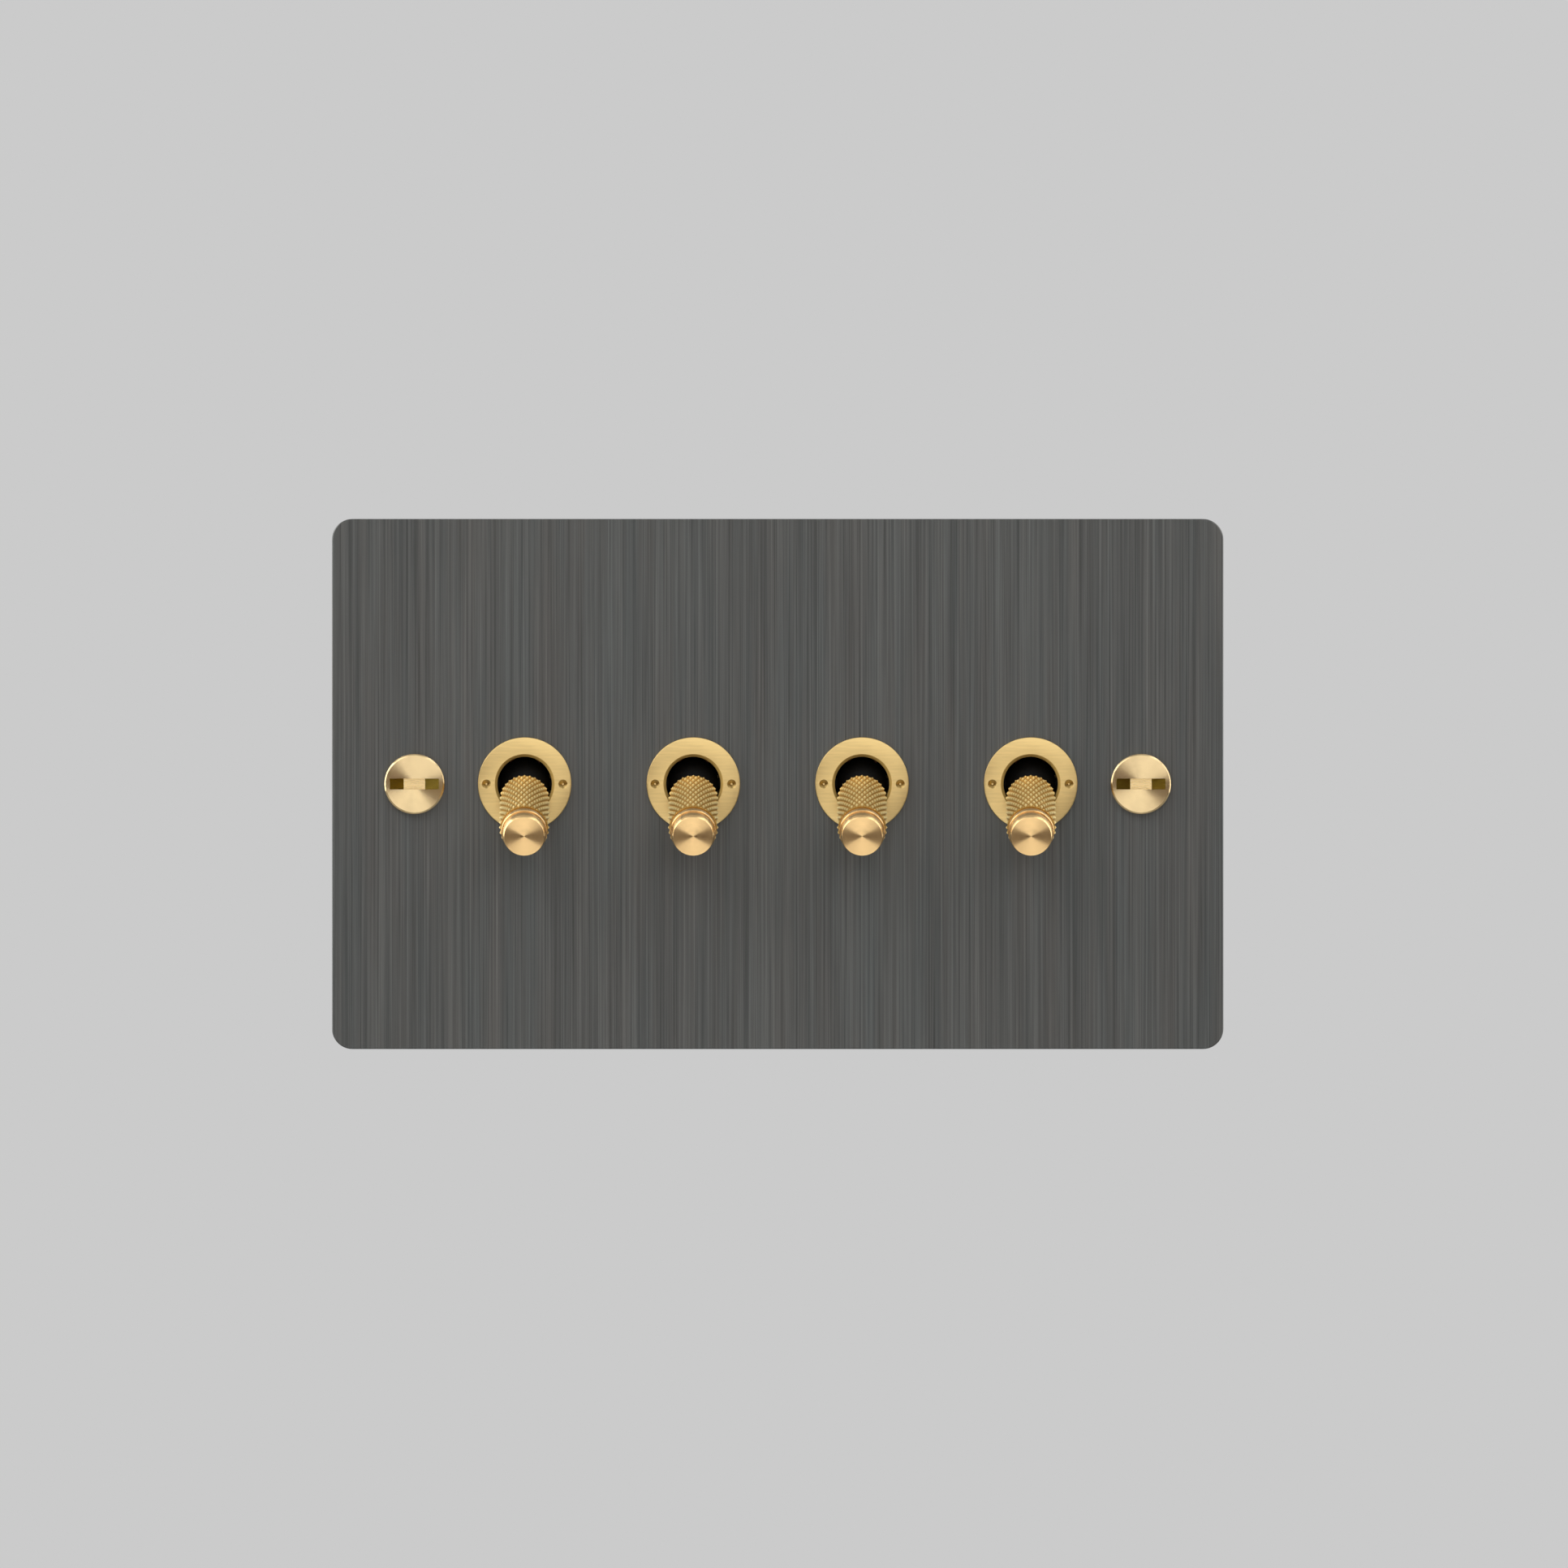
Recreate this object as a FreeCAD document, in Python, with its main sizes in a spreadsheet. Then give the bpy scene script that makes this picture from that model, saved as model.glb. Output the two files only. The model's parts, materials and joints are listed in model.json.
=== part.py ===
"""Four-gang toggle wall switch on a flat double plate.

Millimetres. The origin is the centre of the plate's back face, on the wall. +Z is up, the
front faces -Y and everything behind the wall plane has a positive Y, called depth here.
Each lever is stored tipped down, and its own sizes run along the lever from its pivot.
"""
import FreeCAD, Part
import math
import os
import re
import Sketcher

SIZES = {
    # face plate
    "plate_width": 148.0,
    "plate_height": 88.0,
    "plate_thick": 1.5,
    "plate_corner": 3.4,
    "plate_edge": 0.15,
    "recess_width": 130.0,
    "recess_height": 72.0,
    "recess_depth": 0.3,
    "toggle_pitch": 28.0,
    "toggle_hole": 12.2,
    # screws into the wall box
    "box_screw_spacing": 120.6,
    "box_screw_hole": 4.2,
    "head_radius": 5.0,
    "head_thick": 1.8,
    "head_edge": 0.25,
    "neck_radius": 1.38,
    "neck_end": 2.2,
    "thread_radius": 1.75,
    "thread_end": 24.0,
    "slot_width": 1.8,
    "slot_depth": 1.0,
    "slot_length": 8.15,
    "slot_flat": 3.55,
    "retainer_radius": 3.2,
    "retainer_bore": 1.41,
    # collar
    "collar_radius": 7.75,
    "collar_flange": 1.2,
    "collar_edge": 0.15,
    "collar_bore": 4.5,
    "mouth_radius": 4.94,
    "mouth_depth": 0.6,
    "spigot_radius": 5.95,
    "spigot_end": 2.0,
    "spanner_offset": 6.35,
    "spanner_hole": 1.5,
    "spanner_depth": 0.5,
    # lining behind the plate
    "liner_width": 112.0,
    "liner_height": 64.0,
    "liner_thick": 1.0,
    "liner_back": 0.7,
    "liner_rim": 2.7,
    "liner_hole": 14.2,
    # switch module
    "module_width": 24.0,
    "module_height": 40.0,
    "cover_back": 3.7,
    "hub_radius": 7.0,
    "hub_back": 7.7,
    "hub_bore": 4.6,
    "hub_thread": 6.0,
    "housing_back": 24.0,
    "housing_wall": 1.5,
    "housing_floor": 22.0,
    "post_radius": 2.1,
    "post_height": 15.5,
    "post_bore": 1.3,
    "counterbore": 2.4,
    "counterbore_depth": 1.3,
    "wire_hole": 2.5,
    "driver_hole": 2.2,
    # lever
    "pivot_depth": 3.3,
    "lever_tilt": 17.0,
    "pin_radius": 1.0,
    "pin_length": 16.0,
    "pin_clearance": 0.06,
    "ball_radius": 4.2,
    "stem_radius": 2.5,
    "stem_end": 22.0,
    "tube_radius": 2.6,
    "tube_end": 7.6,
    "tube_bore": 1.53,
    "tube_floor": 1.7,
    "grip_radius": 4.18,
    "grip_start": 8.04,
    "grip_end": 25.65,
    "grip_edge": 0.28,
    "grip_bore": 2.53,
    "stud_radius": 2.0,
    "stud_start": 22.3,
    "neck_ring": 3.5,
    "neck_front": 26.1,
    "step_ring": 3.8,
    "step_front": 27.3,
    "groove_ring": 3.42,
    "groove_front": 27.6,
    "cap_ring": 3.55,
    "cap_edge": 29.45,
    "face_radius": 3.3,
    "lever_length": 29.7,
    # plunger and its spring
    "plunger_radius": 1.45,
    "plunger_start": 4.2,
    "plunger_end": 8.3,
    "plunger_bore": 1.05,
    "plunger_floor": 7.8,
    "spring_radius": 0.78,
    "spring_wire": 0.15,
    "spring_start": 1.9,
    "spring_pitch": 0.8,
    "spring_length": 5.6,
    # rocking contact
    "rocker_depth": 13.75,
    "rocker_tilt": 8.5,
    "blade_width": 5.0,
    "blade_height": 13.0,
    "blade_thick": 0.6,
    "rivet_height": 5.2,
    "rivet_radius": 0.9,
    "rivet_front": 0.85,
    "rivet_back": 0.5,
    # terminals
    "block_side": 2.2,
    "block_width": 7.6,
    "block_low": 8.5,
    "block_high": 17.5,
    "block_front": 14.0,
    "wire_side": 6.0,
    "wire_depth": 17.2,
    "wire_bore": 2.0,
    "wire_length": 7.5,
    "strip_front": 15.7,
    "strip_thick": 0.8,
    "strip_low": 4.2,
    "strip_end": 2.2,
    "contact_radius": 1.2,
    "contact_front": 15.2,
    "knife_front": 13.8,
    "knife_half": 1.1,
    "bridge_half": 1.5,
    "limb_side": 4.0,
    "clamp_height": 13.7,
    "clamp_thread": 1.5,
    "clamp_shank": 1.45,
    "clamp_start": 19.4,
    "clamp_neck": 22.7,
    "clamp_head": 1.9,
    "clamp_back": 23.8,
    "driver_slot": 0.6,
    "driver_depth": 0.5,
    # module screws
    "case_shank": 1.0,
    "case_tip": 1.4,
    "case_neck": 22.7,
    "case_head": 2.0,
    "case_back": 23.8,
    # earth terminal
    "earth_half": 3.5,
    "earth_low": 23.0,
    "earth_high": 31.0,
    "earth_back": 9.7,
    "earth_wire_depth": 5.2,
    "earth_wire_length": 6.5,
    "earth_screw_height": 28.0,
    "earth_window": 0.3,
    "earth_start": 7.4,
    "earth_neck": 9.75,
    "earth_head": 2.2,
    "earth_head_back": 11.2,
    "earth_gap": 0.2,
    "pin_fit": 0.01,
    "stud_fit": 0.02,
    "stem_gap": 0.1,
    "tip_gap": 0.1,
    "knife_inset": 0.2,
    "rooting": 0.1,  # how far a small feature runs into the solid that it stands on
    "lap": 0.5,  # the same for a larger one, or a cut beyond the wall that it opens
    "overrun": 1.0,  # how far a through cut starts and ends outside its piece
}

TOGGLES = (1, 2, 3, 4)
MIDDLE = (len(TOGGLES) + 1) / 2
DRILL_POINT = 118.0  # degrees, the usual grind

X_AXIS = FreeCAD.Vector(1, 0, 0)
Y_AXIS = FreeCAD.Vector(0, 1, 0)
STRAIGHT = FreeCAD.Rotation()
ROD_ALONG_Y = FreeCAD.Rotation(X_AXIS, -90)
ROD_ALONG_X = FreeCAD.Rotation(Y_AXIS, 90)

doc = FreeCAD.newDocument("ToggleSwitch")
sheet = doc.addObject("Spreadsheet::Sheet", "Sizes")
for row, (alias, value) in enumerate(SIZES.items(), start=1):
    sheet.set(f"A{row}", alias)
    sheet.set(f"B{row}", str(value))
    sheet.setAlias(f"B{row}", alias)
doc.recompute()

pieces = []


# ---- formulas over the sheet -------------------------------------------------------------


def over_sheet(formula):
    """Point each size named in a formula at its cell."""
    return re.sub(
        r"[a-z_]+",
        lambda word: f"Sizes.{word.group()}" if word.group() in SIZES else word.group(),
        str(formula),
    )


def bind(thing, **formulas):
    """Bind properties to formulas; a double underscore stands for the dot in a path."""
    for path, formula in formulas.items():
        thing.setExpression(path.replace("__", "."), over_sheet(formula))


def stand(thing, side=0, depth=0, height=0, turn=STRAIGHT):
    """Turn a feature and bind the place of its own origin."""
    thing.Placement = FreeCAD.Placement(FreeCAD.Vector(), turn)
    bind(thing, Placement__Base__x=side, Placement__Base__y=depth, Placement__Base__z=height)
    return thing


def toggle_side(number):
    """Where a toggle stands along the plate."""
    return f"toggle_pitch * ({number - MIDDLE})"


def on_lever(thing, number):
    """Hang a piece drawn straight ahead of the pivot on its tipped lever."""
    stand(thing, toggle_side(number), "pivot_depth", turn=FreeCAD.Rotation(X_AXIS, 1))
    bind(thing, Placement__Rotation__Angle="lever_tilt")
    return keep(thing)


def keep(thing):
    """Count a finished piece; its label names its file."""
    pieces.append(thing)
    return thing


# ---- sketches and the features made from them --------------------------------------------


def new_body(label):
    body = doc.addObject("PartDesign::Body", label)
    body.Label = label
    return body


def sketch_on(body, role, offset=0):
    """A sketch on one of the body's own planes, moved along that plane's normal."""
    sketch = body.newObject("Sketcher::SketchObject", f"{body.Name}_sketch")
    plane = next(item for item in body.Origin.OriginFeatures if item.Role == role)
    sketch.AttachmentSupport = (plane, [""])
    sketch.MapMode = "FlatFace"
    bind(sketch, AttachmentOffset__Base__z=offset)
    return sketch


def facing_sketch(body, depth=0):
    """A sketch seen from the front, X across and Z up, at a depth behind the wall plane."""
    return sketch_on(body, "XZ_Plane", f"-({depth})")


def drive(sketch, kind, element, point, formula):
    """Hold one coordinate of a sketch point at a formula."""
    number = sketch.addConstraint(Sketcher.Constraint(kind, element, point, 1.0))
    sketch.setExpression(f"Constraints[{number}]", over_sheet(formula))


def outline(sketch, corners):
    """A closed outline of straight lines, each corner held by its two coordinates."""
    count = len(corners)
    starts = [FreeCAD.Vector(math.cos(6.2 * i / count), math.sin(6.2 * i / count), 0)
              for i in range(count)]
    first = sketch.GeometryCount
    for i in range(count):
        sketch.addGeometry(Part.LineSegment(starts[i], starts[(i + 1) % count]), False)
    for i in range(count):
        following = first + (i + 1) % count
        sketch.addConstraint(Sketcher.Constraint("Coincident", first + i, 2, following, 1))
    for i, (across, up) in enumerate(corners):
        drive(sketch, "DistanceX", first + i, 1, across)
        drive(sketch, "DistanceY", first + i, 1, up)


def rectangle(sketch, left, right, low, high):
    outline(sketch, [(left, low), (right, low), (right, high), (left, high)])


def centred(sketch, width, height):
    rectangle(sketch, f"-{width} / 2", f"{width} / 2", f"-{height} / 2", f"{height} / 2")


def ring(sketch, across, up, radius):
    """A circle held by its centre and radius."""
    middle = FreeCAD.Vector(sketch.GeometryCount * 3.0, 1, 0)
    number = sketch.addGeometry(Part.Circle(middle, FreeCAD.Vector(0, 0, 1), 1.0), False)
    drive(sketch, "DistanceX", number, 3, across)
    drive(sketch, "DistanceY", number, 3, up)
    size = sketch.addConstraint(Sketcher.Constraint("Radius", number, 1.0))
    sketch.setExpression(f"Constraints[{size}]", over_sheet(radius))


def feature(body, kind, sketch, length=None, **settings):
    made = body.newObject(f"PartDesign::{kind}", f"{body.Name}_{kind}")
    made.Profile = sketch
    if length is not None:
        bind(made, Length=length)
    for name, setting in settings.items():
        setattr(made, name, setting)
    sketch.Visibility = False
    return made


def slab(body, draw, front, back):
    """Material between two depths, over the outline that draw makes."""
    sketch = facing_sketch(body, back)
    draw(sketch)
    return feature(body, "Pad", sketch, f"({back}) - ({front})")


def sunk(body, draw, front, back):
    """A cut from one depth back to another, over the outline that draw makes."""
    sketch = facing_sketch(body, front)
    draw(sketch)
    return feature(body, "Pocket", sketch, f"({back}) - ({front})")


def turned(body, profile):
    """A lathe-turned shape about Y, from corners given as radius and depth."""
    sketch = sketch_on(body, "XY_Plane")
    outline(sketch, profile)
    return feature(body, "Revolution", sketch, ReferenceAxis=(sketch, ["V_Axis"]), Angle=360.0)


# ---- primitives and booleans --------------------------------------------------------------


def rod_y(label, radius, front, back, side=0, height=0):
    """A rod along Y between two depths."""
    rod = stand(doc.addObject("Part::Cylinder", label), side, front, height, ROD_ALONG_Y)
    bind(rod, Radius=radius, Height=f"({back}) - ({front})")
    return rod


def rod_x(label, radius, length, side=0, depth=0):
    """A rod along X, centred on side."""
    start = f"({side}) - ({length}) / 2"
    rod = stand(doc.addObject("Part::Cylinder", label), start, depth, 0, ROD_ALONG_X)
    bind(rod, Radius=radius, Height=length)
    return rod


def block(label, across, depths, heights):
    """A box between pairs of formulas."""
    made = stand(doc.addObject("Part::Box", label), across[0], depths[0], heights[0])
    bind(
        made,
        Length=f"({across[1]}) - ({across[0]})",
        Width=f"({depths[1]}) - ({depths[0]})",
        Height=f"({heights[1]}) - ({heights[0]})",
    )
    return made


def fuse(label, shapes):
    made = doc.addObject("Part::MultiFuse", label)
    made.Shapes = shapes
    made.Label = label
    return made


def cut(label, base, tool):
    made = doc.addObject("Part::Cut", label)
    made.Base = base
    made.Tool = tool
    made.Label = label
    return made


def group(label, solids):
    """Several like pieces that share one file."""
    made = doc.addObject("Part::Compound", label)
    made.Links = solids
    made.Label = label
    return keep(made)


# ---- the plate and what fastens it --------------------------------------------------------


def make_face_plate():
    """Flat plate, its back milled a little so that only a rim touches the wall."""
    body = new_body("face_plate")
    slab(body, lambda sketch: centred(sketch, "plate_width", "plate_height"),
         "-plate_thick", 0)
    doc.recompute()
    pad = body.Tip
    upright = [f"Edge{i}" for i, edge in enumerate(pad.Shape.Edges, start=1)
               if abs(edge.tangentAt(edge.FirstParameter).y) > 0.9]
    corners = body.newObject("PartDesign::Fillet", "plate_corners")
    corners.Base = (pad, upright)
    bind(corners, Radius="plate_corner")
    doc.recompute()
    front = min(corners.Shape.Faces, key=lambda face: face.CenterOfMass.y)
    rim = [f"Edge{i}" for i, edge in enumerate(corners.Shape.Edges, start=1)
           if any(edge.isSame(other) for other in front.Edges)]
    edge = body.newObject("PartDesign::Chamfer", "plate_front_edge")
    edge.Base = (corners, rim)
    bind(edge, Size="plate_edge")
    sunk(body, lambda sketch: centred(sketch, "recess_width", "recess_height"),
         "-recess_depth", 0)

    def holes(sketch):
        for number in TOGGLES:
            ring(sketch, toggle_side(number), 0, "toggle_hole / 2")
        for side in ("-box_screw_spacing / 2", "box_screw_spacing / 2"):
            ring(sketch, side, 0, "box_screw_hole / 2")

    sunk(body, holes, "-plate_thick", 0)
    keep(body)


def make_collar(number):
    """Ring nut: a flange with two spanner holes and a threaded spigot through the plate."""
    body = new_body(f"collar_{number}")
    front = "-plate_thick - collar_flange"
    turned(body, [
        ("collar_bore", "spigot_end"),
        ("collar_bore", f"{front} + mouth_depth"),
        ("mouth_radius", front),
        ("collar_radius - collar_edge", front),
        ("collar_radius", f"{front} + collar_edge"),
        ("collar_radius", "-plate_thick"),
        ("spigot_radius", "-plate_thick"),
        ("spigot_radius", "spigot_end"),
    ])
    doc.recompute()
    sketch = facing_sketch(body, front)
    for side in ("-spanner_offset", "spanner_offset"):
        ring(sketch, side, 0, "spanner_hole / 2")
    doc.recompute()
    holes = feature(body, "Hole", sketch, DepthType="Dimension", DrillPoint="Angled",
                    DrillPointAngle=DRILL_POINT, ThreadType="None")
    bind(holes, Diameter="spanner_hole", Depth="spanner_depth")
    keep(stand(body, toggle_side(number)))


def make_fixing_screw(label, side):
    """Screw into the wall box: large slotted head, thin neck, full thread beyond the liner."""
    body = new_body(label)
    front = "-plate_thick - head_thick"
    turned(body, [
        (0, front),
        ("head_radius - head_edge", front),
        ("head_radius", f"{front} + head_edge"),
        ("head_radius", "-plate_thick"),
        ("neck_radius", "-plate_thick"),
        ("neck_radius", "neck_end"),
        ("thread_radius", "neck_end"),
        ("thread_radius", "thread_end"),
        ("thread_radius / 2", "thread_end + thread_radius / 2"),
        (0, "thread_end + thread_radius / 2"),
    ])
    # the slot is flat in the middle and ramps out to the face before it reaches the rim
    sketch = sketch_on(body, "XY_Plane")
    outline(sketch, [
        ("-slot_length / 2", front),
        ("slot_length / 2", front),
        ("slot_flat / 2", f"{front} + slot_depth"),
        ("-slot_flat / 2", f"{front} + slot_depth"),
    ])
    feature(body, "Pocket", sketch, "slot_width", Midplane=True)
    keep(stand(body, side))


def make_screw_retainers():
    """Two fibre washers that hold the box screws in the plate."""
    washers = []
    for name, side in (("left", "-box_screw_spacing / 2"), ("right", "box_screw_spacing / 2")):
        disc = rod_y(f"retainer_disc_{name}", "retainer_radius", "-recess_depth",
                     "liner_back", side)
        bore = rod_y(f"retainer_bore_{name}", "retainer_bore", "-recess_depth",
                     "liner_back", side)
        washers.append(cut(f"retainer_{name}", disc, bore))
    group("screw_retainers", washers)


def make_rear_liner():
    """Moulded insulating tray between the plate and the modules."""
    body = new_body("rear_liner")
    slab(body, lambda sketch: centred(sketch, "liner_width", "liner_height"),
         "-recess_depth", "liner_rim")
    sunk(body, lambda sketch: rectangle(
        sketch, "liner_thick - liner_width / 2", "liner_width / 2 - liner_thick",
        "liner_thick - liner_height / 2", "liner_height / 2 - liner_thick"),
        "liner_back", "liner_rim")

    def openings(sketch):
        for number in TOGGLES:
            ring(sketch, toggle_side(number), 0, "liner_hole / 2")
        rectangle(sketch, "-earth_half - earth_window", "earth_half + earth_window",
                  "earth_low - earth_window", "earth_high")

    sunk(body, openings, "-recess_depth", "liner_back")
    keep(body)


# ---- the switch modules --------------------------------------------------------------------


def make_module_cover(number):
    """Front of a module: a flat moulding with the hub that holds the lever and the collar."""
    body = new_body(f"module_cover_{number}")
    slab(body, lambda sketch: centred(sketch, "module_width", "module_height"),
         "liner_back", "cover_back")
    slab(body, lambda sketch: ring(sketch, 0, 0, "hub_radius"), "-recess_depth", "hub_back")
    sunk(body, lambda sketch: ring(sketch, 0, 0, "hub_bore"), "-recess_depth", "hub_back")
    sunk(body, lambda sketch: ring(sketch, 0, 0, "hub_thread"), "-recess_depth", "neck_end")
    sketch = sketch_on(body, "YZ_Plane")
    ring(sketch, "pivot_depth", 0, "pin_radius + pin_fit")
    feature(body, "Pocket", sketch, "module_width + 2 * overrun", Midplane=True)

    def pilots(sketch):
        ring(sketch, 0, "-post_height", "case_shank")
        ring(sketch, 0, "post_height", "case_shank")

    sunk(body, pilots, "case_tip - tip_gap", "cover_back")
    keep(stand(body, toggle_side(number)))


def make_module_housing(number):
    """Rear tray of a module: two screw posts, three wire entries, holes for a driver."""
    body = new_body(f"module_housing_{number}")
    slab(body, lambda sketch: centred(sketch, "module_width", "module_height"),
         "cover_back", "housing_back")
    sunk(body, lambda sketch: rectangle(
        sketch, "housing_wall - module_width / 2", "module_width / 2 - housing_wall",
        "housing_wall - module_height / 2", "module_height / 2 - housing_wall"),
        "cover_back", "housing_floor")
    posts = ("-post_height", "post_height")

    def at_posts(radius):
        return lambda sketch: [ring(sketch, 0, height, radius) for height in posts]

    slab(body, at_posts("post_radius"), "cover_back", "housing_floor + lap")
    sunk(body, at_posts("post_bore"), "cover_back", "housing_back")
    sunk(body, at_posts("counterbore"), "housing_back - counterbore_depth", "housing_back")

    def driver_holes(sketch):
        ring(sketch, "wire_side", "clamp_height", "driver_hole")
        ring(sketch, "-wire_side", "-clamp_height", "driver_hole")
        ring(sketch, "wire_side", "-clamp_height", "driver_hole")

    sunk(body, driver_holes, "housing_floor - lap", "housing_back")
    top = sketch_on(body, "XY_Plane", "module_height / 2")
    ring(top, "wire_side", "wire_depth", "wire_hole")
    feature(body, "Pocket", top, "housing_wall + lap")
    bottom = sketch_on(body, "XY_Plane", "-module_height / 2")
    ring(bottom, "wire_side", "wire_depth", "wire_hole")
    ring(bottom, "-wire_side", "wire_depth", "wire_hole")
    feature(body, "Pocket", bottom, "housing_wall + lap", Reversed=True)
    keep(stand(body, toggle_side(number)))


def terminal_block(body, left, right):
    """Brass block with a blind wire bore from above and a clamp screw from behind."""
    wire_side = f"(({left}) + ({right})) / 2"
    slab(body, lambda sketch: rectangle(sketch, left, right, "block_low", "block_high"),
         "block_front", "housing_floor")
    top = sketch_on(body, "XY_Plane", "block_high")
    ring(top, wire_side, "wire_depth", "wire_bore")
    feature(body, "Pocket", top, "wire_length")
    sunk(body, lambda sketch: ring(sketch, wire_side, "clamp_height", "clamp_thread"),
         "wire_depth", "housing_floor")


def make_switched_terminal(label, number, turn):
    """Upper or lower terminal: the block, a strip and the fixed contact in front of it."""
    body = new_body(label)
    terminal_block(body, "block_side", "block_side + block_width")
    slab(body, lambda sketch: rectangle(
        sketch, "-strip_end", "block_side + block_width", "strip_low", "block_low + lap"),
        "strip_front", "strip_front + strip_thick")
    slab(body, lambda sketch: ring(sketch, 0, "rivet_height", "contact_radius"),
         "contact_front", "strip_front + rooting")
    keep(stand(body, toggle_side(number), turn=turn))


def make_common_terminal(number):
    """Common terminal: the block, a bent strip and the knife edge that the rocker tips on."""
    body = new_body(f"common_terminal_{number}")
    far = "-block_side - block_width"
    terminal_block(body, far, "-block_side")
    slab(body, lambda sketch: outline(sketch, [
        (far, "-bridge_half"),
        ("strip_end", "-bridge_half"),
        ("strip_end", "bridge_half"),
        ("-limb_side", "bridge_half"),
        ("-limb_side", "block_low + lap"),
        (far, "block_low + lap"),
    ]), "strip_front", "strip_front + strip_thick")
    knife = sketch_on(body, "YZ_Plane")
    outline(knife, [("knife_front", 0), ("strip_front + rooting", "-knife_half"),
                    ("strip_front + rooting", "knife_half")])
    feature(body, "Pad", knife, "2 * (strip_end - knife_inset)", Midplane=True)
    keep(stand(body, toggle_side(number), turn=FreeCAD.Rotation(Y_AXIS, 180)))


def slotted_screw(label, side, height, sizes):
    """Small cheese-head screw driven from behind: shank, neck, tip and head depths."""
    shank_radius, tip, neck, head_radius, back = sizes
    shank = rod_y(f"{label}_shank", shank_radius, tip, f"{neck} + rooting", side, height)
    head = rod_y(f"{label}_head", head_radius, neck, back, side, height)
    slot = block(f"{label}_slot", (f"{side} - {head_radius} - overrun",
                                    f"{side} + {head_radius} + overrun"),
                 (f"{back} - driver_depth", f"{back} + overrun"),
                 (f"{height} - driver_slot / 2", f"{height} + driver_slot / 2"))
    return cut(label, fuse(f"{label}_blank", [shank, head]), slot)


def make_module_screws():
    """Clamp screws of the twelve terminals and the eight screws that close the modules."""
    clamp = ("clamp_shank", "clamp_start", "clamp_neck", "clamp_head", "clamp_back")
    case = ("case_shank", "case_tip", "case_neck", "case_head", "case_back")
    clamps, closers = [], []
    for number in TOGGLES:
        middle = toggle_side(number)
        places = (("upper", f"{middle} + wire_side", "clamp_height"),
                  ("lower", f"{middle} - wire_side", "-clamp_height"),
                  ("common", f"{middle} + wire_side", "-clamp_height"))
        for name, side, height in places:
            clamps.append(slotted_screw(f"clamp_{name}_{number}", side, height, clamp))
        for name, height in (("top", "post_height"), ("bottom", "-post_height")):
            closers.append(slotted_screw(f"closer_{name}_{number}", middle, height, case))
    group("terminal_screws", clamps)
    group("housing_screws", closers)


def make_earth_terminal():
    """Earth block riveted to the plate's back through a window in the liner."""
    body = new_body("earth_terminal")
    slab(body, lambda sketch: rectangle(
        sketch, "-earth_half", "earth_half", "earth_low", "earth_high - earth_gap"),
        "-recess_depth", "earth_back")
    top = sketch_on(body, "XY_Plane", "earth_high - earth_gap")
    ring(top, 0, "earth_wire_depth", "wire_bore")
    feature(body, "Pocket", top, "earth_wire_length")
    sunk(body, lambda sketch: ring(sketch, 0, "earth_screw_height", "clamp_thread"),
         "earth_wire_depth", "earth_back")
    keep(body)
    keep(slotted_screw("earth_screw", "0", "earth_screw_height",
                       ("clamp_shank", "earth_start", "earth_neck", "earth_head",
                        "earth_head_back")))


# ---- the levers and what they move ---------------------------------------------------------


def make_dolly(number):
    """Nylon lever core: stem for the grip, ball on the pin, tube for the plunger."""
    name = f"dolly_{number}"
    ball = doc.addObject("Part::Sphere", f"{name}_ball")
    bind(ball, Radius="ball_radius")
    stem = rod_y(f"{name}_stem", "stem_radius", "-stem_end", 0)
    tube = rod_y(f"{name}_tube", "tube_radius", 0, "tube_end")
    bore = rod_y(f"{name}_bore", "tube_bore", "tube_floor", "tube_end")
    pin_hole = rod_x(f"{name}_pin_hole", "pin_radius + pin_clearance", "3 * ball_radius")
    solid = fuse(f"{name}_moulding", [ball, stem, tube])
    on_lever(cut(name, cut(f"{name}_bored", solid, bore), pin_hole), number)


def make_grip(number):
    """Brass sleeve on the stem, drawn at the height of its knurl's peaks."""
    body = new_body(f"grip_{number}")
    turned(body, [
        ("grip_bore", "-grip_start"),
        ("grip_radius - grip_edge", "-grip_start"),
        ("grip_radius", "-grip_start - grip_edge"),
        ("grip_radius", "-grip_end + grip_edge"),
        ("grip_radius - grip_edge", "-grip_end"),
        ("stud_radius + stud_fit", "-grip_end"),
        ("stud_radius + stud_fit", "-stem_end - stem_gap"),
        ("grip_bore", "-stem_end - stem_gap"),
    ])
    on_lever(body, number)


def make_grip_cap(number):
    """Turned brass end cap: a stud into the grip, two stepped rings and a faced end."""
    body = new_body(f"grip_cap_{number}")
    turned(body, [
        (0, "-stud_start"),
        ("stud_radius", "-stud_start"),
        ("stud_radius", "-grip_end"),
        ("neck_ring", "-grip_end"),
        ("neck_ring", "-neck_front"),
        ("step_ring", "-neck_front"),
        ("step_ring", "-step_front"),
        ("groove_ring", "-step_front"),
        ("groove_ring", "-groove_front"),
        ("cap_ring", "-groove_front"),
        ("cap_ring", "-cap_edge"),
        ("face_radius", "-lever_length"),
        (0, "-lever_length"),
    ])
    on_lever(body, number)


def make_plunger(number):
    """Hollow plunger with a round nose that presses on the rocker."""
    name = f"plunger_{number}"
    barrel = rod_y(f"{name}_barrel", "plunger_radius", "plunger_start", "plunger_end")
    nose = stand(doc.addObject("Part::Sphere", f"{name}_nose"), depth="plunger_end")
    bind(nose, Radius="plunger_radius")
    hollow = rod_y(f"{name}_hollow", "plunger_bore", "plunger_start", "plunger_floor")
    on_lever(cut(name, fuse(f"{name}_blank", [barrel, nose]), hollow), number)


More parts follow.
